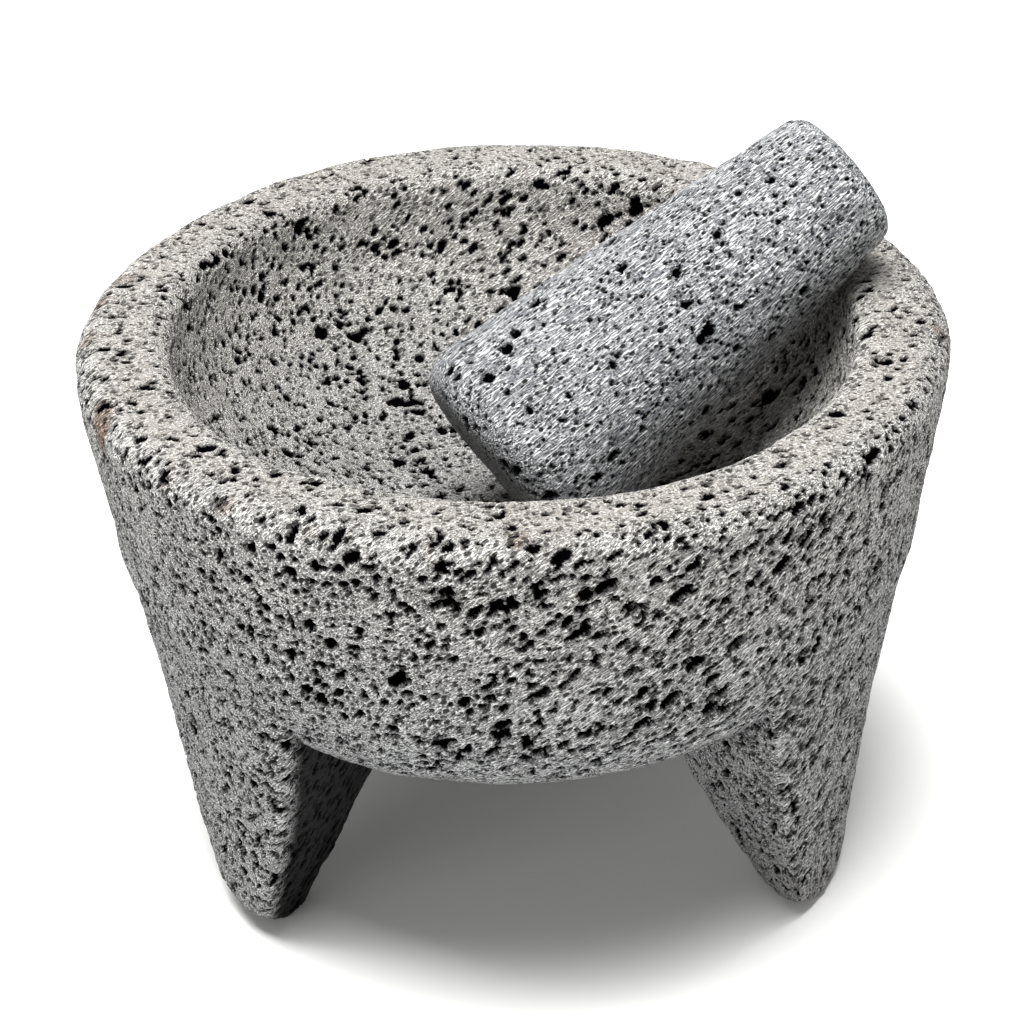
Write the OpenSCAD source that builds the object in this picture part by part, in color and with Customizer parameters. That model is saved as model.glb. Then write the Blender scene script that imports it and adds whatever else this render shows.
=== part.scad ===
// Molcajete: a three-legged basalt mortar with its loose pestle, the tejolote, leaning in the bowl.
// Millimetres, +Z up, feet on z = 0, the bowl's axis on the Z axis, the side seen from the front towards -Y.

/* [Bowl] */
// width across the bowl where it is widest, just under the rim
bowl_d = 200;
// [160:1:260]
// height of the rim above the floor the feet stand on
rim_h = 140;
// [112:1:172]
// width of the bowl's mouth between the inner edges of the rim
mouth_d = 158;
// [126:1:200]
// depth of the grinding hollow below the rim
hollow_depth = 53;
// [42:1:70]
// roundness of the hollow: 2 is an ellipse, more is squarer
hollow_power = 2.2;
// [1.8:0.1:3]
// height of the belly's underside above the floor
belly_clear = 44;
// [34:1:56]
// height at which the wall turns in to become the belly
belly_top = 99;
// [84:1:112]
// roundness of the belly, as for the hollow
belly_power = 2.2;
// [1.8:0.1:3]
// radius of the worn outer edge of the rim
rim_round = 6;
// [4:0.5:10]
// radius of the worn inner edge of the rim
lip_round = 4;
// [3:0.5:7]

/* [Legs] */
// radius of the outer skin at the floor, where the legs end
skin_foot_r = 84;
// [70:1:98]
// radius of the outer skin at the height of the belly's top
skin_belly_r = 95.4;
// [80:0.2:112]
// how much the outer side of the legs is drawn in halfway up them
skin_waist = 2;
// [0:0.5:3]
// how far the inner edge of a leg stands from the bowl's axis at the floor
keel_r = 62;
// [52:1:68]
// how far the inner edge of a leg moves inwards for each millimetre it rises
keel_slope = 0.63;
// [0.5:0.01:0.8]
// sideways growth of a leg for each millimetre away from its inner edge
leg_flare = 0.53;
// [0.42:0.01:0.62]
// width of the blunted inner edge of a leg
keel_w = 4.5;
// [2:0.5:6]
// distance of the middle of the front left foot from the bowl's axis
foot_left_at = 68;
// [62:0.5:78]
// the same for the front right foot
foot_right_at = 74;
// [62:0.5:78]
// the same for the back foot
foot_back_at = 71;
// [62:0.5:78]
// radius of the flat each foot stands on
foot_flat_r = 4;
// [3:0.5:6]
// roundness of the foot above its flat
foot_round = 10;
// [7:1:15]

/* [Pestle] */
// length of the pestle from end to end
pestle_len = 107;
// [90:1:128]
// diameter of the grinding end
thick_d = 57.4;
// [49:0.2:67]
// diameter of the grip end
thin_d = 36.8;
// [31:0.2:44]
// radius of the worn edge of the grinding end
thick_round = 8;
// [5:0.5:10]
// radius of the worn edge of the grip end
thin_round = 5;
// [3:0.5:7]
// direction the grip end points, round from +X
pestle_turn = 25.5;
// [0:0.1:90]
// how far the pestle lies to one side of the bowl's axis
pestle_side = 14.2;
// [-15:0.1:15]
// how far past the bowl's axis, towards the grip end, the lowest edge of the grinding end stands
pestle_past = 5;
// [-10:0.1:14]
// air left between the pestle and the bowl where it rests
rest_gap = 0.6;
// [0.3:0.1:1]

/* [Hidden] */
$fn = 96;

leg_turns = [212, 330.5, 90];
foot_ats = [foot_left_at, foot_right_at, foot_back_at];
bowl_r = bowl_d / 2;
mouth_r = mouth_d / 2;
widest_z = rim_h - rim_round;
floor_z = rim_h - hollow_depth;

// radius of the outer skin at a height: a gentle curve through the rim, the belly's top and the foot, drawn in
// between the last two
function skin_r(z) =
    let (a = widest_z, b = belly_top)
    bowl_r * (z - b) * z / ((a - b) * a)
    + skin_belly_r * (z - a) * z / ((b - a) * b)
    + skin_foot_r * (z - a) * (z - b) / (a * b)
    - skin_waist * z * (a - z) * (b - z) / (b * b / 4 * (a - b / 2));

function skin(z0, z1, n) = [for (i = [0:n]) let (z = z0 + (z1 - z0) * i / n) [skin_r(z), z]];

// quarter of a rounded oval: across and down are its half sizes, from the axis out to the edge
function oval(across, down, power, z, a0, a1, n) =
    [for (i = [0:n]) let (a = a0 + (a1 - a0) * i / n)
        [across * pow(max(sin(a), 0), 2 / power), z - down * pow(max(cos(a), 0), 2 / power)]];

function arc(x, z, r, a0, a1, n) =
    [for (i = [0:n]) let (a = a0 + (a1 - a0) * i / n) [x + r * cos(a), z + r * sin(a)]];

// the bowl as a solid lump, before it is hollowed
module bowl_lump() {
    rotate_extrude()
        polygon(concat(
            [[0, belly_clear]],
            oval(skin_r(belly_top), belly_top - belly_clear, belly_power, belly_top, 9, 81, 8),
            skin(belly_top, widest_z, 3),
            arc(bowl_r - rim_round, widest_z, rim_round, 15, 90, 5),
            [[0, rim_h]]));
}

// the grinding hollow, opening out over the worn inner edge of the rim
module hollow() {
    rotate_extrude()
        polygon(concat(
            [[0, floor_z]],
            oval(mouth_r, hollow_depth, hollow_power, rim_h, 9, 72, 8),
            arc(mouth_r + lip_round, rim_h - lip_round, lip_round, 180, 90, 5),
            [[mouth_r + lip_round, rim_h + 5], [0, rim_h + 5]]));
}

// one leg along +X: a wedge with two flat sides, cut by the bowl's own outer skin and worn round at the foot
module leg(foot_at) {
    flare = leg_flare * sqrt(1 + keel_slope * keel_slope);
    blunt = keel_w / 2 / flare;
    reach = 2 * bowl_r;
    intersection() {
        translate([keel_r, 0, 0])
            rotate([0, -atan(keel_slope), 0])
                translate([0, 0, -reach / 2])
                    linear_extrude(2 * reach)
                        polygon([[blunt, flare * blunt], [reach, flare * reach],
                                 [reach, -flare * reach], [blunt, -flare * blunt]]);
        rotate_extrude()
            polygon(concat([[0, 0]], skin(0, belly_top - 1, 5), [[0, belly_top - 1]]));
        translate([foot_at, 0, 0])
            rotate_extrude()
                polygon(concat([[0, 0]],
                    [for (i = [0:6]) let (z = 110 * pow(i / 6, 2)) [foot_flat_r + sqrt(2 * foot_round * z), z]],
                    [[0, 110]]));
    }
}

module mortar() {
    color([0.44, 0.43, 0.42])
        difference() {
            union() {
                bowl_lump();
                for (i = [0:2]) rotate([0, 0, leg_turns[i]]) leg(foot_ats[i]);
            }
            hollow();
        }
}

// where the pestle lies, found in the upright plane through its axis: its lowest edge stands on the hollow's floor
// and its lower side clears the rim's worn inner edge
edge_s = pestle_past;
edge_z = floor_z + hollow_depth * (1 - pow(1 - pow(sqrt(pow(edge_s, 2) + pow(pestle_side, 2)) / mouth_r,
                                                  hollow_power), 1 / hollow_power)) + thick_round + rest_gap;
lip_s = sqrt(pow(mouth_r + lip_round, 2) - pow(pestle_side, 2));
lip_z = rim_h - lip_round;
run = lip_s - edge_s;
rise = edge_z - lip_z;
taper = atan((thick_d - thin_d) / 2 / pestle_len);
side_tilt = asin((thick_round + lip_round + rest_gap) / sqrt(run * run + rise * rise)) - atan2(rise, run);
pestle_tilt = side_tilt - taper;

module pestle_stone() {
    r0 = thick_d / 2;
    r1 = thin_d / 2;
    rotate_extrude()
        polygon(concat(
            [[0, 0]],
            arc(r0 - thick_round, thick_round, thick_round, -90, taper, 6),
            arc(r1 - thin_round, pestle_len - thin_round, thin_round, taper, 90, 5),
            [[0, pestle_len]]));
}

module pestle() {
    r0 = thick_d / 2;
    out = r0 - thick_round;
    color([0.47, 0.48, 0.5])
        rotate([0, 0, pestle_turn])
            translate([edge_s, -pestle_side, edge_z])
                rotate([0, 90 - pestle_tilt, 0])
                    translate([-out, 0, -thick_round])
                        pestle_stone();
}

mortar();
pestle();
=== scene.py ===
import math

import bpy
import numpy as np
from mathutils import Matrix, Vector


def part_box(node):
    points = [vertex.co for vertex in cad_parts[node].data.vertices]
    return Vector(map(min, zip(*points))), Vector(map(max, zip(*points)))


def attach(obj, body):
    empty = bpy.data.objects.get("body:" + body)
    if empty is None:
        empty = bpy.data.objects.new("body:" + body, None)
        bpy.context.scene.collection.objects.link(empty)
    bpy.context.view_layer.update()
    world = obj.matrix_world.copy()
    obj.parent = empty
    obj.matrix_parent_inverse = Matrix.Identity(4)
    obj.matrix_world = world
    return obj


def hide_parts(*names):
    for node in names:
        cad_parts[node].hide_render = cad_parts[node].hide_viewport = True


mm = 0.001

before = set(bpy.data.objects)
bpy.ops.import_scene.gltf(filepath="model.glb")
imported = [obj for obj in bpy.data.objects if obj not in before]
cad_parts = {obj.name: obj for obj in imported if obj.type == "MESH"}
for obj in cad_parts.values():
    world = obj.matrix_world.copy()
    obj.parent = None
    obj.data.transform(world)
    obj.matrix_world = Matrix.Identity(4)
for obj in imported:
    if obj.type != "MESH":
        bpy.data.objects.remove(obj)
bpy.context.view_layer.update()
print("frame loaded")

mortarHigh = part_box("mortar")[1]
rimHeight = mortarHigh.z
bowlRadius = mortarHigh.x


def hexColour(code):
    # sRGB hex to linear light
    parts = [int(code[i:i + 2], 16) / 255 for i in (1, 3, 5)]
    return tuple(p / 12.92 if p <= 0.04045 else ((p + 0.055) / 1.055) ** 2.4 for p in parts) + (1.0,)


def cellChance(cells, salt):
    # one fixed random number from 0 to 1 for each cell of a cubic lattice, mixed from the cell's numbers
    c = cells.astype(np.int64).astype(np.uint32)
    h = c[:, 0] * np.uint32(73856093) ^ c[:, 1] * np.uint32(19349663) ^ c[:, 2] * np.uint32(83492791)
    h = h ^ np.uint32((salt * 2654435761) & 0xFFFFFFFF)
    h = (h ^ (h >> np.uint32(15))) * np.uint32(2246822519)
    h = (h ^ (h >> np.uint32(13))) * np.uint32(3266489917)
    h = h ^ (h >> np.uint32(16))
    return h.astype(np.float64) / 4294967296.0


def softNoise(points, size, salt):
    # random values on a lattice of this size, from -1 to 1, blended smoothly between the eight corners
    # round each point
    q = points / size
    base = np.floor(q)
    f = q - base
    f = f * f * (3 - 2 * f)
    total = np.zeros(len(points))
    for corner in np.ndindex(2, 2, 2):
        step = np.array(corner)
        weight = np.prod(np.where(step == 1, f, 1 - f), axis=1)
        total += weight * cellChance(base + step, salt)
    return total * 2 - 1


smallerOften = 1.4      # above 1, small bubbles are commoner than large ones


def bubbleDepth(points, inward, cell, share, radii, salt, stretch=None):
    # gas bubbles are balls strewn through a lattice, one to a cell; where the skin cuts a ball open, the
    # depth is the way from the skin to the far side of the ball along the inward direction
    if stretch is not None:
        points = points @ stretch.T
        inward = inward @ stretch.T
    speed = np.linalg.norm(inward, axis=1)
    heading = inward / speed[:, None]
    home = np.floor(points / cell)
    depth = np.zeros(len(points))
    for step in np.ndindex(3, 3, 3):
        cells = home + np.array(step) - 1
        centre = np.stack([cellChance(cells, salt + i) for i in range(3)], axis=1)
        centre = (cells + centre) * cell
        radius = radii[0] + (radii[1] - radii[0]) * cellChance(cells, salt + 3) ** smallerOften
        there = cellChance(cells, salt + 4) < share
        away = centre - points
        near = np.einsum("ij,ij->i", away, away)
        along = np.einsum("ij,ij->i", away, heading)
        inside = there & (near < radius ** 2)
        way = along + np.sqrt(np.maximum(radius ** 2 - near + along ** 2, 0))
        depth = np.where(inside, np.maximum(depth, way), depth)
    return depth / speed


# flow drew the bubbles out along a line that climbs to the right; lengths along it are shrunk before
# the balls are cut
flowLine = Vector((0.80, 0.15, 0.58)).normalized()
flowPull = 1.8
flowStretch = np.eye(3) - (1 - 1 / flowPull) * np.outer(flowLine, flowLine)


def ringMesh(capRings, rows, endRings):
    # points in rings round a closed shape: ring k of a cap holds 6k points, so a cap has no pinched pole,
    # and the rows between the caps all hold as many as the last ring; returns each point's row and turn,
    # and the triangles
    counts = [max(6 * k, 1) for k in range(capRings + 1)] + [6 * capRings] * (rows - 1)
    counts += [max(6 * k, 1) for k in range(endRings, -1, -1)] if endRings else []
    starts = np.concatenate([[0], np.cumsum(counts)])
    row = np.repeat(np.arange(len(counts)), counts)
    place = np.arange(starts[-1]) - starts[row]
    turn = 2 * np.pi * place / np.array(counts)[row]
    triangles = []
    for k in range(len(counts) - 1):
        a, b = counts[k], counts[k + 1]
        if a == b:
            j = np.arange(a)
            n = (j + 1) % a
            low, high = starts[k], starts[k + 1]
            even = np.stack([low + j, low + n, high + n, low + j, high + n, high + j], axis=1)
            triangles.append(even.reshape(-1, 3))
            continue
        small, large = (k, k + 1) if a < b else (k + 1, k)
        m = max(a, b) // 6
        side, i = np.divmod(np.arange(6 * m), m)
        outer = starts[large] + side * m + i
        outerNext = starts[large] + (side * m + i + 1) % (6 * m)
        inCount = max(6 * (m - 1), 1)
        inner = starts[small] + (side * (m - 1) + i) % inCount
        innerNext = starts[small] + (side * (m - 1) + i + 1) % inCount
        fans = np.stack([outer, outerNext, inner], axis=1)
        links = np.stack([outerNext, innerNext, inner], axis=1)[i < m - 1]
        both = np.concatenate([fans, links])
        triangles.append(both[:, ::-1] if a < b else both)
    return row, turn, np.concatenate(triangles)


def pointNormals(points, triangles):
    # each triangle's area-weighted normal is added to its three corners
    a, b, c = (points[triangles[:, i]] for i in range(3))
    face = np.cross(b - a, c - a)
    total = np.zeros_like(points)
    for i in range(3):
        for axis in range(3):
            total[:, axis] += np.bincount(triangles[:, i], face[:, axis], len(points))
    return total / np.maximum(np.linalg.norm(total, axis=1, keepdims=True), 1e-20)


def facingOut(points, triangles):
    # the signed volume says which way round the triangles go
    a, b, c = (points[triangles[:, i]] for i in range(3))
    volume = np.einsum("ij,ij->", a, np.cross(b, c))
    return triangles if volume > 0 else triangles[:, ::-1]


def evenly(line, count):
    # the same line with its points spaced evenly by length
    line = np.array(line, float)
    length = np.concatenate([[0], np.cumsum(np.linalg.norm(np.diff(line, axis=0), axis=1))])
    at = np.linspace(0, length[-1], count + 1)
    return np.stack([np.interp(at, length, line[:, i]) for i in range(2)], axis=1)


def arcLine(x, z, radius, fromDeg, toDeg, count=24):
    a = np.radians(np.linspace(fromDeg, toDeg, count))
    return np.stack([x + radius * np.cos(a), z + radius * np.sin(a)], axis=1)


def ovalLine(across, down, power, top, count=240):
    # quarter of a rounded oval from the axis out to the edge
    a = np.linspace(0, np.pi / 2, count)
    return np.stack([across * np.sin(a) ** (2 / power), top - down * np.cos(a) ** (2 / power)], axis=1)


def addPiece(name, points, triangles, body, nodes, material, values, normals=None,
             skinFaces=None):
    # puts arrays into a mesh, keeps the per-point values the material reads, and hands the piece to its
    # body
    mesh = bpy.data.meshes.new(name)
    mesh.vertices.add(len(points))
    mesh.vertices.foreach_set("co", points.astype(np.float32).ravel())
    mesh.loops.add(triangles.size)
    mesh.loops.foreach_set("vertex_index", triangles.astype(np.int32).ravel())
    mesh.polygons.add(len(triangles))
    mesh.polygons.foreach_set("loop_start", np.arange(0, triangles.size, 3, dtype=np.int32))
    mesh.update(calc_edges=True)
    mesh.validate()
    smooth = np.arange(len(mesh.polygons)) < (skinFaces or len(mesh.polygons))
    mesh.polygons.foreach_set("use_smooth", smooth)
    for key, data in values.items():
        mesh.attributes.new(key, "FLOAT", "POINT").data.foreach_set("value", data.astype(np.float32))
    if normals is not None:
        mesh.normals_split_custom_set_from_vertices(normals)
    mesh.materials.append(material)
    piece = bpy.data.objects.new(name, mesh)
    bpy.context.scene.collection.objects.link(piece)
    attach(piece, body)
    if nodes:
        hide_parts(*nodes)
    print(f"{name}: {len(points)} points, {len(triangles)} triangles")
    return piece


def addNode(tree, kind, settings=None, stops=(), **links):
    # one node with its settings and a ramp's stops; a link is a socket or a plain value for the input of
    # that name, or in0, in1 and so on for an input known by its number
    node = tree.nodes.new(kind)
    for key, value in (settings or {}).items():
        setattr(node, key, value)
    for n, (at, level) in enumerate(stops):
        element = node.color_ramp.elements[n] if n < 2 else node.color_ramp.elements.new(at)
        element.position = at
        element.color = (level, level, level, 1)
    for key, value in links.items():
        numbered = key.startswith("in") and key[2:].isdigit()
        socket = node.inputs[int(key[2:]) if numbered else key]
        if isinstance(value, bpy.types.NodeSocket):
            tree.links.new(value, socket)
        else:
            socket.default_value = value
    return node


basaltLook = {
    "body": "#8f8d8b",          # dry, freshly dressed basalt is a middle grey, a little warm
    "pale": "#fbfaf7",          # feldspar laths and bruised stone where the tool struck
    "dark": "#353434",          # augite and iron ore grains
    "shadedHole": "#030304",          # painted shade: the inside of a gas bubble, where no light reaches
    "rim": "#b4aca1",           # handled stone is paler and warmer
    "stain": "#9a6b3e",         # spots of rust and old chilli
    "cool": "#c9d0d8",          # the legs and the pestle, less handled, keep the stone's bluish cast
    "underShade": "#1c1d20",         # painted shade: the faces turned in under the bowl are darkened where shade falls
    "grain": 0.5 * mm,          # size of a mineral grain
    "lath": (0.36 * mm, 1.9 * mm),      # width and length of a pale crystal or bruise
    "finePore": (1.15 * mm, 1.9 * mm),  # spacing, across and along the flow, of the finest bubbles
    "poreStops": [(0.15, 0.0), (0.30, 0.24), (1.0, 0.52)],
    "poreEdge": 9.0,            # how sharply a fine hole deepens and darkens with painted shade inside its edge
    "poreMost": 0.95,           # painted shade in a fine hole, and what wear takes from it
    "poreWear": -0.35,
    "mottle": 11 * mm,          # size of the slow changes from paler to darker stone
    "mottleStops": [(0.38, 0.0), (0.66, 0.22)],
    "darkStops": [(0.42, 0.85), (0.54, 0.0)],
    "lathStops": [(0.52, 0.0), (0.62, 0.95)],
    "rimTint": 0.5,             # how far full wear goes towards the rim's colour
    "bump": 1.3 * mm,           # full height of the fine relief
    "grainRise": 0.7,           # how much of the bump a grain and a crystal each make
    "lathRise": 1.6,
    "roughness": 0.88,
    "gloss": 0.35,
}

pestleLook = dict(
    basaltLook, body="#85878a", dark="#3c3d40", lath=(0.34 * mm, 3.2 * mm),
    finePore=(1.1 * mm, 1.6 * mm), poreStops=[(0.30, 0.0), (0.42, 0.22), (1.0, 0.50)])


def basalt(name, look, lie):
    # vesicular basalt, pecked to shape and ground: matt grey, pitted with holes of every size that are
    # drawn out the way the lava ran and painted dark inside as shade, with pale bruised points and crystals
    # between them that catch the light
    material = bpy.data.materials.new(name)
    material.use_nodes = True
    tree = material.node_tree
    shader = tree.nodes["Principled BSDF"]
    shader.inputs["Roughness"].default_value = look["roughness"]
    place = addNode(tree, "ShaderNodeTexCoord").outputs["Object"]
    pitShade, worn, stained, cool, underShade = (
        addNode(tree, "ShaderNodeAttribute", {"attribute_name": key}).outputs["Fac"]
        for key in ("pitShade", "worn", "stained", "cool", "underShade"))

    grain = addNode(tree, "ShaderNodeTexNoise", Vector=place, Scale=1 / look["grain"], Detail=2.0,
                    Roughness=0.6).outputs["Fac"]
    mottle = addNode(tree, "ShaderNodeTexNoise", Vector=place, Scale=1 / look["mottle"], Detail=4.0,
                     Roughness=0.6).outputs["Fac"]
    wide, long = look["lath"]
    drawn = addNode(tree, "ShaderNodeMapping", {"vector_type": "TEXTURE"}, Vector=place, Rotation=lie,
                    Scale=(wide, wide, long)).outputs[0]
    laths = addNode(tree, "ShaderNodeTexNoise", Vector=drawn, Scale=1.0, Detail=2.0,
                    Roughness=0.6).outputs["Fac"]
    wide, long = look["finePore"]
    drawn = addNode(tree, "ShaderNodeMapping", {"vector_type": "TEXTURE"}, Vector=place, Rotation=lie,
                    Scale=(wide, wide, long)).outputs[0]
    cells = addNode(tree, "ShaderNodeTexVoronoi", Vector=drawn, Scale=1.0)
    # each cell's random colour gives its hole a size, and some cells have none
    pick = addNode(tree, "ShaderNodeSeparateColor", Color=cells.outputs["Color"]).outputs[0]
    size = addNode(tree, "ShaderNodeValToRGB", stops=look["poreStops"], in0=pick).outputs[0]
    inside = addNode(tree, "ShaderNodeMath", {"operation": "SUBTRACT"}, in0=size,
                     in1=cells.outputs["Distance"]).outputs[0]
    shadedHole = addNode(tree, "ShaderNodeMath", {"operation": "MULTIPLY", "use_clamp": True}, in0=inside,
                   in1=look["poreEdge"]).outputs[0]
    # wear closes the fine holes partly
    left = addNode(tree, "ShaderNodeMath", {"operation": "MULTIPLY_ADD"}, in0=worn, in1=look["poreWear"],
                   in2=look["poreMost"]).outputs[0]
    shadedHole = addNode(tree, "ShaderNodeMath", {"operation": "MULTIPLY"}, in0=shadedHole, in1=left).outputs[0]

    amount = addNode(tree, "ShaderNodeValToRGB", stops=look["mottleStops"], in0=mottle).outputs[0]
    colour = addNode(tree, "ShaderNodeMix", {"data_type": "RGBA"}, in0=amount, in6=hexColour(look["body"]),
                     in7=hexColour(look["pale"])).outputs[2]
    amount = addNode(tree, "ShaderNodeValToRGB", stops=look["darkStops"], in0=grain).outputs[0]
    colour = addNode(tree, "ShaderNodeMix", {"data_type": "RGBA"}, in0=amount, in6=colour,
                     in7=hexColour(look["dark"])).outputs[2]
    amount = addNode(tree, "ShaderNodeValToRGB", stops=look["lathStops"], in0=laths).outputs[0]
    colour = addNode(tree, "ShaderNodeMix", {"data_type": "RGBA"}, in0=amount, in6=colour,
                     in7=hexColour(look["pale"])).outputs[2]
    amount = addNode(tree, "ShaderNodeMath", {"operation": "MULTIPLY"}, in0=worn,
                     in1=look["rimTint"]).outputs[0]
    colour = addNode(tree, "ShaderNodeMix", {"data_type": "RGBA"}, in0=amount, in6=colour,
                     in7=hexColour(look["rim"])).outputs[2]
    # the last tint is painted shade under the bowl; the stain and the cool cast are the stone's own colour
    for amount, tint in ((stained, "stain"), (cool, "cool"), (underShade, "underShade")):
        colour = addNode(tree, "ShaderNodeMix", {"data_type": "RGBA", "blend_type": "MULTIPLY"}, in0=amount,
                         in6=colour, in7=hexColour(look[tint])).outputs[2]
    # painted shade: the fine holes and the bubbles cut into the mesh go dark inside
    for amount in (shadedHole, pitShade):
        colour = addNode(tree, "ShaderNodeMix", {"data_type": "RGBA"}, in0=amount, in6=colour,
                         in7=hexColour(look["shadedHole"])).outputs[2]
    tree.links.new(colour, shader.inputs["Base Color"])
    # no sheen comes back out of a hole
    gloss = addNode(tree, "ShaderNodeMath", {"operation": "MULTIPLY_ADD", "use_clamp": True}, in0=pitShade,
                    in1=-look["gloss"], in2=look["gloss"]).outputs[0]
    tree.links.new(gloss, shader.inputs["Specular IOR Level"])

    # the skin stands out at each pale crystal, a little at each grain, and drops into each fine hole
    height = addNode(tree, "ShaderNodeMath", {"operation": "MULTIPLY"}, in0=grain,
                     in1=look["grainRise"]).outputs[0]
    height = addNode(tree, "ShaderNodeMath", {"operation": "MULTIPLY_ADD"}, in0=laths, in1=look["lathRise"],
                     in2=height).outputs[0]
    height = addNode(tree, "ShaderNodeMath", {"operation": "SUBTRACT"}, in0=height, in1=shadedHole).outputs[0]
    bump = addNode(tree, "ShaderNodeBump", Height=height, Distance=look["bump"], Strength=1.0).outputs[0]
    tree.links.new(bump, shader.inputs["Normal"])
    return material


bowl = {
    "mouthRadius": 79 * mm,     # inner edge of the rim
    "hollowDepth": 53 * mm,
    "hollowPower": 2.2,         # roundness: 2 is an ellipse, more is squarer
    "bellyClear": 44 * mm,      # underside above the floor
    "bellyTop": 99 * mm,
    "bellyPower": 2.2,
    "rimRound": 6 * mm,
    "lipRound": 4 * mm,
    "skinBelly": 95.4 * mm,     # radius of the outer skin at the belly's top and at the floor
    "skinFoot": 84 * mm,
    "skinWaist": 2 * mm,        # how much it is drawn in halfway up the legs
    "rings": 240,               # rings of points in the hollow and in the belly
    "wallRows": 116,
    "capRing": 170,             # ring where the hollow's floor and the underside become their own pieces
    "coreDepth": 7 * mm,        # how deep under the skin its pieces are closed
    "coreRings": 8,             # rings of a closing face, and points round each
    "coreTurns": 180,
    "coreEnd": 2 * mm,          # a closing ring smaller than this is left out
    "edgeWear": 9,              # rounds of evening out the section, which wear its edges off
    "wearReach": 11 * mm,       # how far from the crest the rim is worn by hands
    "ground": 0.55,             # the pestle keeps the hollow smoother and paler than the wall
    "patchy": 0.25,             # how uneven the rim's wear is, and over what size
    "patchSize": 9 * mm,
    "stainBelow": 15 * mm,      # stains sit in a band this far from the crest, about this wide
    "stainReach": 9 * mm,
    "stainSize": 6 * mm,        # size of one stain and of the patches they gather in
    "stainPatch": 24 * mm,
    "patchShare": 0.5,
    "stainRare": 0.35,          # higher leaves fewer stains
    "stainSharp": 2.5,
    "stainMost": 0.75,
    "coolBelow": 120 * mm,      # the bluish cast grows from this height down, over this much height
    "coolOver": 80 * mm,
    "coolMost": 0.5,
    "underShadeBelow": 75 * mm,       # the underside's painted shade, likewise
    "underShadeOver": 40 * mm,
    "underShadeMost": 0.6,
}

stone = {
    "sway": 0.9 * mm,           # how far the hand-cut skin strays over a hand's breadth
    "swaySize": 46 * mm,
    "dent": 0.35 * mm,          # shallow marks of the pick
    "dentSize": 7 * mm,
    "coarse": 0.16 * mm,
    "coarseSize": 1.8 * mm,
    "bubbles": [                # cell, share of cells with a bubble, smallest and largest radius
        (1.9 * mm, 0.95, (0.42 * mm, 0.98 * mm)),
        (2.9 * mm, 0.80, (0.60 * mm, 1.25 * mm)),
        (4.8 * mm, 0.45, (0.9 * mm, 1.8 * mm)),
    ],
    "ragged": 0.40 * mm,        # how far a bubble's edge strays from round, and over what size
    "raggedSize": 1.3 * mm,
    "wearFill": 0.42,           # how much of a bubble's depth full wear takes away
    "deepest": 2.6 * mm,
    "shallow": 0.22 * mm,       # light reaches the bottom of a pit no deeper than this
}

legStone = dict(
    stone, dent=0.45 * mm, coarse=0.22 * mm,
    bubbles=[(1.9 * mm, 0.95, (0.5 * mm, 1.05 * mm)), (3.4 * mm, 0.62, (0.75 * mm, 1.6 * mm))])

widestZ = rimHeight - bowl["rimRound"]


def skinRadius(z):
    # the parabola through the rim, the belly's top and the foot, drawn in by a cubic that is 0 at all three
    a, b = widestZ, bowl["bellyTop"]
    return (bowlRadius * (z - b) * z / ((a - b) * a) + bowl["skinBelly"] * (z - a) * z / ((b - a) * b)
            + bowl["skinFoot"] * (z - a) * (z - b) / (a * b)
            - bowl["skinWaist"] * z * (a - z) * (b - z) / (b * b / 4 * (a - b / 2)))


def roughen(points, triangles, look, wear=None, stretch=flowStretch, salt=11):
    # moves each point along its own normal: slow sway and pick marks out or in, bubbles inwards; returns
    # the points, and painted shade by depth in a bubble, 0 on the skin and in shallow pits, 1 deeper in
    normals = pointNormals(points, triangles)
    wear = np.zeros(len(points)) if wear is None else wear
    shift = look["sway"] * softNoise(points, look["swaySize"], salt)
    shift += look["dent"] * softNoise(points, look["dentSize"], salt + 1)
    shift += look["coarse"] * softNoise(points, look["coarseSize"], salt + 2)
    stray = np.stack([softNoise(points, look["raggedSize"], salt + 3 + i) for i in range(3)], axis=1)
    probe = points + look["ragged"] * stray
    depth = np.zeros(len(points))
    for n, (cell, share, radii) in enumerate(look["bubbles"]):
        cut = bubbleDepth(probe, -normals, cell, share, radii, salt + 20 + 10 * n, stretch)
        depth = np.maximum(depth, cut)
    depth = look["deepest"] * (1 - np.exp(-depth / look["deepest"]))
    depth *= 1 - look["wearFill"] * wear
    # painted shade: how far a bubble's floor lies deeper than light reaches
    pitShade = np.clip((depth - look["shallow"]) / look["shallow"], 0, 1)
    return points + normals * (shift - depth)[:, None], pitShade


def bowlMeridian():
    # half the bowl's section, from the middle of the hollow over the rim and down the wall to the middle
    # of the belly
    crest = (bowl["mouthRadius"] + bowl["lipRound"] + bowlRadius - bowl["rimRound"]) / 2
    hollow = ovalLine(bowl["mouthRadius"], bowl["hollowDepth"], bowl["hollowPower"], rimHeight)
    hollow = hollow[hollow[:, 1] < rimHeight - bowl["lipRound"]]
    lip = arcLine(bowl["mouthRadius"] + bowl["lipRound"], rimHeight - bowl["lipRound"], bowl["lipRound"],
                  180, 90)
    inner = np.concatenate([hollow, lip, [[crest, rimHeight]]])
    shoulder = arcLine(bowlRadius - bowl["rimRound"], widestZ, bowl["rimRound"], 90, 10)
    z = np.linspace(widestZ, bowl["bellyTop"], 40)
    wall = np.concatenate([[[crest, rimHeight]], shoulder, np.stack([skinRadius(z), z], axis=1)])
    belly = ovalLine(skinRadius(bowl["bellyTop"]), bowl["bellyTop"] - bowl["bellyClear"],
                     bowl["bellyPower"], bowl["bellyTop"])[::-1]
    parts = [evenly(inner, bowl["rings"]), evenly(wall, bowl["wallRows"])[1:],
             evenly(belly, bowl["rings"])[1:]]
    line = np.concatenate(parts)
    inside = slice(1, -1)
    for _ in range(bowl["edgeWear"]):
        line[inside] = (line[:-2] + 2 * line[1:-1] + line[2:]) / 4
    return line


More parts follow.
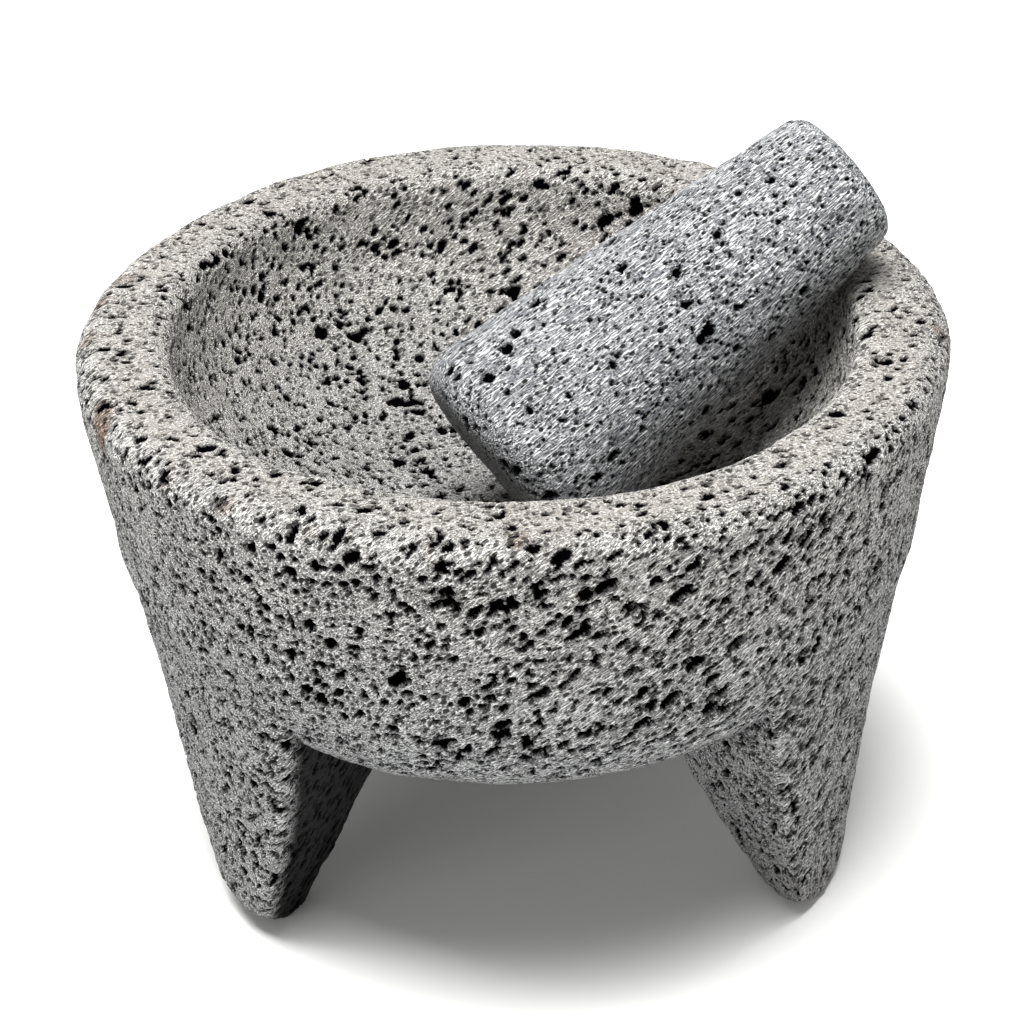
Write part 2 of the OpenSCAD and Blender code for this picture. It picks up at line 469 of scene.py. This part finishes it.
def stitch(low, high):
    # triangles between two rings with any number of points each: every side of one ring meets the point
    # of the other that stands nearest to its middle
    a, b = len(low), len(high)
    i, j = np.arange(a), np.arange(b)
    apex = np.floor(b * (i + 0.5) / a + 0.5).astype(int)
    onLow = np.stack([low[(i + 1) % a], low[i], high[apex % b]], axis=1)
    onHigh = np.stack([high[j], high[(j + 1) % b], low[np.searchsorted(apex, j, side="right") % a]], axis=1)
    return np.concatenate([onLow, onHigh])


def closedPart(skin, triangles, row, span, core):
    # the part of the bowl between two rows, closed inside the stone by rings that follow the section at a
    # depth
    points, normals, values = skin
    first, final = span
    keep = (row >= first) & (row <= final)
    number = np.cumsum(keep) - 1
    faces = number[triangles[keep[triangles].all(axis=1)]]
    count = keep.sum()
    steps = np.linspace(final, first, bowl["coreRings"]).astype(int)
    steps = steps[core[steps, 0] > bowl["coreEnd"]]
    turn = np.linspace(0, 2 * np.pi, bowl["coreTurns"], endpoint=False)
    radius, height = core[steps, 0][:, None], core[steps, 1][:, None]
    backing = np.stack([radius * np.cos(turn), radius * np.sin(turn), height + 0 * turn], axis=2)
    backing = backing.reshape(-1, 3)
    chain = [count + len(turn) * i + np.arange(len(turn)) for i in range(len(steps))]
    chain.insert(0, number[np.flatnonzero(row == final)])
    chain.append(number[np.flatnonzero(row == first)])
    for end, which in ((0, final), (-1, first)):
        if len(chain[end]) == 1:        # a part that holds the middle point is closed on the axis instead
            backing = np.concatenate([backing, [[0, 0, core[which, 1]]]])
            chain[end] = np.array([count + len(backing) - 1])
    closing = np.concatenate([stitch(low, high) for low, high in zip(chain[:-1], chain[1:])])
    closing = closing[(closing[:, 0] != closing[:, 1]) & (closing[:, 1] != closing[:, 2])]
    added = np.zeros(len(backing))
    values = {key: np.concatenate([data[keep], added]) for key, data in values.items()}
    normals = np.concatenate([normals[keep], np.tile([0.0, 0.0, 1.0], (len(backing), 1))])
    points = np.concatenate([points[keep], backing])
    return points, np.concatenate([faces, closing]), values, normals, len(faces)


def makeBowl(material):
    line = bowlMeridian()
    rows = bowl["wallRows"]
    row, turn, triangles = ringMesh(bowl["rings"], rows, bowl["rings"])
    radius, height = line[row, 0], line[row, 1]
    points = np.stack([radius * np.cos(turn), radius * np.sin(turn), height], axis=1)
    triangles = facingOut(points, triangles)
    crestRow = bowl["rings"]
    fromCrest = np.abs(radius - line[crestRow, 0]) + np.abs(height - rimHeight)
    worn = np.exp(-(fromCrest / bowl["wearReach"]) ** 2)
    outside = radius > line[crestRow, 0]
    band = np.exp(-((fromCrest - bowl["stainBelow"]) / bowl["stainReach"]) ** 2) * outside
    spots = softNoise(points, bowl["stainSize"], 91)
    spots += bowl["patchShare"] * softNoise(points, bowl["stainPatch"], 92)
    stained = bowl["stainMost"] * band * np.clip((spots - bowl["stainRare"]) * bowl["stainSharp"], 0, 1)
    ground = bowl["ground"] * (row < crestRow)
    points, pitShade = roughen(points, triangles, stone, wear=np.maximum(worn, ground))
    normals = pointNormals(points, triangles)
    cool = np.clip((bowl["coolBelow"] - height) / bowl["coolOver"], 0, bowl["coolMost"])
    patchy = bowl["patchy"]
    handled = worn * (1 - patchy + patchy * softNoise(points, bowl["patchSize"], 95))
    # painted shade under the bowl: the outside darkens from a height down towards the floor
    underShade = np.clip((bowl["underShadeBelow"] - height) / bowl["underShadeOver"], 0, bowl["underShadeMost"]) * (row > crestRow)
    values = {"pitShade": pitShade, "worn": np.maximum(handled, ground), "stained": stained, "cool": cool,
              "underShade": underShade}
    skin = points, normals, values
    along = np.gradient(line, axis=0)
    along /= np.linalg.norm(along, axis=1, keepdims=True)
    core = line + bowl["coreDepth"] * along[:, ::-1] * (1, -1)
    core[:, 0] = np.maximum(core[:, 0], 0)
    last = row.max()
    cuts = {"hollowFloor": 0, "hollowWall": bowl["capRing"], "wallUpper": crestRow,
            "wallLower": crestRow + rows // 2, "bellyShoulder": crestRow + rows,
            "bellyUnder": last - bowl["capRing"]}
    starts = list(cuts.values()) + [last]
    for number, name in enumerate(cuts):
        partPoints, faces, partValues, partNormals, skinFaces = closedPart(
            skin, triangles, row, starts[number:number + 2], core)
        nodes = ["mortar"] if name == "wallUpper" else []
        addPiece(name, partPoints, faces, "mortar", nodes, material, partValues,
                 partNormals, skinFaces)


leg = {
    "each": {                   # direction, distance of the foot, and how much painted shade falls on its turned-in faces
        "legFrontLeft": (212, 68 * mm, 1.0),
        "legFrontRight": (330.5, 74 * mm, 0.0),
        "legBack": (90, 71 * mm, 0.6),
    },
    "keelRadius": 62 * mm,      # inner edge at the floor, and how far it moves in for each unit it rises
    "keelSlope": 0.63,
    "keelBow": 2.2 * mm,        # how far the inner edge swells, halfway up to this height
    "keelTop": 75 * mm,
    "keelWidth": 4.5 * mm,
    "flare": 0.53,
    "footFlat": 4 * mm,
    "footRound": 10 * mm,
    "top": 108 * mm,            # where the leg ends inside the stone of the bowl
    "topAt": 84 * mm,           # and how far from the bowl's axis its middle is there
    "tuckRadius": 38 * mm,      # inside the bowl the inner edge turns out again, to stay within the stone
    "tuckHeight": 50 * mm,
    "tuckSlope": 0.75,
    "sink": 1.4 * mm,           # how far its top draws in under the bowl's skin, from where, over what
    "sinkFrom": 78 * mm,
    "sinkOver": 24 * mm,
    "softness": 18,             # lower rounds the edges more
    "crowding": 1.2,            # above 1, rows stand closer together at the foot
    "footWear": 0.35,           # wear at the floor, and how far up it reaches
    "footWearReach": 14 * mm,
    "underShadeIn": 2 * mm,           # painted shade starts this far in from the bowl's skin, full after this much more
    "underShadeOver": 4 * mm,
    "cool": 0.4,
    "rings": 50,
    "rows": 236,
}


def legSkin(turn, z, footAt):
    # each height's outline is measured from a point inside the leg: the way out to both flat sides, the
    # blunt inner edge, the bowl's outer skin and the round of the foot are blended, the nearest counting
    # most
    climb = np.clip(z / leg["keelTop"], 0, 1)
    keel = leg["keelRadius"] - leg["keelSlope"] * z - leg["keelBow"] * 4 * climb * (1 - climb)
    tuck = leg["tuckRadius"] + (z - leg["tuckHeight"]) * leg["tuckSlope"]
    blunt = np.maximum(keel + leg["keelWidth"] / 2 / leg["flare"], tuck)
    sink = leg["sink"] * np.clip((z - leg["sinkFrom"]) / leg["sinkOver"], 0, 1) ** 2
    outer = skinRadius(z) - sink
    foot = leg["footFlat"] + np.sqrt(2 * leg["footRound"] * z)
    centre = (blunt + np.minimum(outer, footAt + foot)) / 2
    u, v = np.cos(turn), np.sin(turn)

    def circleWay(middle, radius):
        lean = (centre - middle) * u
        return np.sqrt(np.maximum(lean ** 2 - (centre - middle) ** 2 + radius ** 2, 0)) - lean

    spread = leg["flare"] * u
    sideGap = leg["flare"] * (centre - keel)
    nearness = [np.maximum(v - spread, 0) / sideGap, np.maximum(-v - spread, 0) / sideGap,
                np.maximum(-u, 0) / (centre - blunt), 1 / circleWay(0, outer), 1 / circleWay(footAt, foot)]
    way = sum(near ** leg["softness"] for near in nearness) ** (-1 / leg["softness"])
    return centre + way * u, way * v


def makeLegs(material):
    rings, rows = leg["rings"], leg["rows"]
    row, turn, triangles = ringMesh(rings, rows, rings)
    z = leg["top"] * np.clip((row - rings) / rows, 0, 1) ** leg["crowding"]
    fill = np.clip(np.minimum(row, row.max() - row) / rings, 0, 1)
    for name, (degrees, footAt, turnedInShade) in leg["each"].items():
        u, v = legSkin(turn, z, footAt)
        middle = np.where(row < rings, footAt, leg["topAt"])
        u = middle + (u - middle) * fill
        a = math.radians(degrees)
        x, y = u * math.cos(a) - v * fill * math.sin(a), u * math.sin(a) + v * fill * math.cos(a)
        points = np.stack([x, y, z], axis=1)
        faces = facingOut(points, triangles)
        worn = leg["footWear"] * np.exp(-(z / leg["footWearReach"]) ** 2)
        inFromSkin = skinRadius(np.minimum(z, bowl["bellyTop"])) - np.hypot(x, y)
        # painted shade on the faces turned in under the bowl, set for each leg
        underShade = turnedInShade * np.clip((inFromSkin - leg["underShadeIn"]) / leg["underShadeOver"], 0, 1)
        points, pitShade = roughen(points, faces, legStone, wear=worn)
        points[:, 2] = np.maximum(points[:, 2], 0)
        values = {"pitShade": pitShade, "worn": worn, "stained": 0 * z, "cool": leg["cool"] + 0 * z, "underShade": underShade}
        addPiece(name, points, faces, "mortar", [], material, values)


pestle = {
    "length": 107 * mm,
    "thickRadius": 28.7 * mm,
    "thinRadius": 18.4 * mm,
    "thickRound": 8 * mm,
    "thinRound": 5 * mm,
    "turn": 25.5,               # degrees round from +X
    "side": 14.2 * mm,          # how far it lies to one side of the bowl's axis
    "past": 5 * mm,             # where its lowest edge stands, past the bowl's axis
    "gap": 0.6 * mm,
    "flat": 0.035,              # how much flatter it is one way than the other, and which way, in radians
    "flatTurn": 0.45,
    "edgeWear": 6,
    "cool": 0.3,
    "rings": 58,
    "rows": 218,
}

pestleStone = dict(
    stone, sway=0.5 * mm, dent=0.25 * mm, coarse=0.10 * mm, deepest=2.0 * mm,
    bubbles=[(1.7 * mm, 0.85, (0.32 * mm, 0.75 * mm)), (4.6 * mm, 0.42, (0.9 * mm, 1.9 * mm))])


def pestlePlace():
    # in the upright plane through the pestle, its lowest edge stands on the hollow's floor and its lower
    # side clears the worn inner edge of the rim
    edge, lip = pestle["thickRound"], bowl["lipRound"]
    out = math.hypot(pestle["past"], pestle["side"]) / bowl["mouthRadius"]
    power = bowl["hollowPower"]
    edgeZ = rimHeight - bowl["hollowDepth"] * (1 - out ** power) ** (1 / power) + edge + pestle["gap"]
    lipS = math.sqrt((bowl["mouthRadius"] + lip) ** 2 - pestle["side"] ** 2)
    run, rise = lipS - pestle["past"], edgeZ - (rimHeight - lip)
    taper = math.atan((pestle["thickRadius"] - pestle["thinRadius"]) / pestle["length"])
    tilt = math.asin((edge + lip + pestle["gap"]) / math.hypot(run, rise)) - math.atan2(rise, run) - taper
    upright = Matrix.Rotation(math.radians(pestle["turn"]), 4, "Z")
    stand = Matrix.Translation((pestle["past"], -pestle["side"], edgeZ))
    lean = Matrix.Rotation(math.pi / 2 - tilt, 4, "Y")
    corner = Matrix.Translation((edge - pestle["thickRadius"], 0, -edge))
    return upright @ stand @ lean @ corner, math.degrees(taper)


def makePestle(material, place, taper):
    edge, tip = pestle["thickRound"], pestle["thinRound"]
    thick, thin, length = pestle["thickRadius"], pestle["thinRadius"], pestle["length"]
    butt = np.concatenate([[[0, 0]], arcLine(thick - edge, edge, edge, -90, taper)])
    point = np.concatenate([arcLine(thin - tip, length - tip, tip, taper, 90), [[0, length]]])
    middle = np.stack([butt[-1], point[0]])
    line = np.concatenate([evenly(butt, pestle["rings"]), evenly(middle, pestle["rows"])[1:],
                           evenly(point, pestle["rings"])[1:]])
    for _ in range(pestle["edgeWear"]):
        line[1:-1] = (line[:-2] + 2 * line[1:-1] + line[2:]) / 4
    row, turn, triangles = ringMesh(pestle["rings"], pestle["rows"], pestle["rings"])
    along = line[row, 1]
    radius = line[row, 0] * (1 - pestle["flat"] * (0.5 - 0.5 * np.cos(2 * (turn - pestle["flatTurn"]))))
    points = np.stack([radius * np.cos(turn), radius * np.sin(turn), along], axis=1)
    m = np.array(place)
    points = points @ m[:3, :3].T + m[:3, 3]
    triangles = facingOut(points, triangles)
    points, pitShade = roughen(points, triangles, pestleStone, stretch=None, salt=57)
    none = 0 * along
    values = {"pitShade": pitShade, "worn": none, "stained": none, "cool": pestle["cool"] + none, "underShade": none}
    addPiece("pestleStone", points, triangles, "pestle", ["pestle"], material, values)


place, taper = pestlePlace()
mortarMaterial = basalt("peckedBasalt", basaltLook, flowLine.to_track_quat("Z", "Y").to_euler())
pestleMaterial = basalt("groundBasalt", pestleLook, place.to_euler())
makeBowl(mortarMaterial)
makeLegs(mortarMaterial)
makePestle(pestleMaterial, place, taper)


studio = {
    "floorHex": "#f0f0ee",
    "floorHalf": 6.0,           # metres from its middle to its edge
    "floorRoughness": 0.9,
    "worldStrength": 0.34,
    "keyPower": 51,
    "keySize": 0.8,
    "keyAt": (-0.10, -0.16, 1.34),
    "fillPower": 7.5,
    "fillSize": 0.8,
    "fillAt": (-0.95, -0.95, 0.22),
    "aim": (0, 0, 0.09),
}


def makeStudio():
    world = bpy.data.worlds.new("whiteRoom")
    bpy.context.scene.world = world
    world.use_nodes = True
    world.node_tree.nodes["Background"].inputs["Color"].default_value = (1, 1, 1, 1)
    world.node_tree.nodes["Background"].inputs["Strength"].default_value = studio["worldStrength"]
    side = studio["floorHalf"]
    mesh = bpy.data.meshes.new("floor")
    corners = [(-side, -side, 0), (side, -side, 0), (side, side, 0), (-side, side, 0)]
    mesh.from_pydata(corners, [], [(0, 1, 2, 3)])
    floor = bpy.data.objects.new("floor", mesh)
    bpy.context.scene.collection.objects.link(floor)
    paint = bpy.data.materials.new("paleFloor")
    paint.use_nodes = True
    shader = paint.node_tree.nodes["Principled BSDF"]
    shader.inputs["Base Color"].default_value = hexColour(studio["floorHex"])
    shader.inputs["Roughness"].default_value = studio["floorRoughness"]
    mesh.materials.append(paint)
    aim = Vector(studio["aim"])
    for name, at, size, power in (("key", studio["keyAt"], studio["keySize"], studio["keyPower"]),
                                  ("fill", studio["fillAt"], studio["fillSize"], studio["fillPower"])):
        lamp = bpy.data.lights.new(name, "AREA")
        lamp.energy = power
        lamp.size = size
        light = bpy.data.objects.new(name, lamp)
        light.location = at
        light.rotation_euler = (aim - Vector(at)).to_track_quat("-Z", "Y").to_euler()
        bpy.context.scene.collection.objects.link(light)
    print("studio: white world, floor and two soft lamps")


eye = {
    "distance": 645.7 * mm,     # from the middle of the rim
    "elevation": 27.56,
    "yaw": -0.108,
    "pitch": -4.024,
    "roll": -1.6,
    "lens": 98.4,
}


def makeCamera():
    e = math.radians(eye["elevation"])
    at = Vector((0, -eye["distance"] * math.cos(e), rimHeight + eye["distance"] * math.sin(e)))
    ahead = Vector((0, math.cos(e), -math.sin(e)))
    right = Vector((1, 0, 0))
    up = right.cross(ahead)
    y, p, r = (math.radians(eye[k]) for k in ("yaw", "pitch", "roll"))
    right, ahead = right * math.cos(y) - ahead * math.sin(y), ahead * math.cos(y) + right * math.sin(y)
    up, ahead = up * math.cos(p) - ahead * math.sin(p), ahead * math.cos(p) + up * math.sin(p)
    right, up = right * math.cos(r) + up * math.sin(r), up * math.cos(r) - right * math.sin(r)
    camera = bpy.data.objects.new("camera", bpy.data.cameras.new("camera"))
    camera.data.lens = eye["lens"]
    camera.data.sensor_width = 36
    camera.data.clip_start = 0.01
    camera.matrix_world = Matrix.Translation(at) @ Matrix((right, up, -ahead)).transposed().to_4x4()
    bpy.context.scene.collection.objects.link(camera)
    bpy.context.scene.camera = camera
    print(f"camera: {eye['lens']} mm lens, {eye['distance']:.3f} m from the rim")


makeStudio()
makeCamera()
bpy.context.scene.view_settings.view_transform = "Standard"
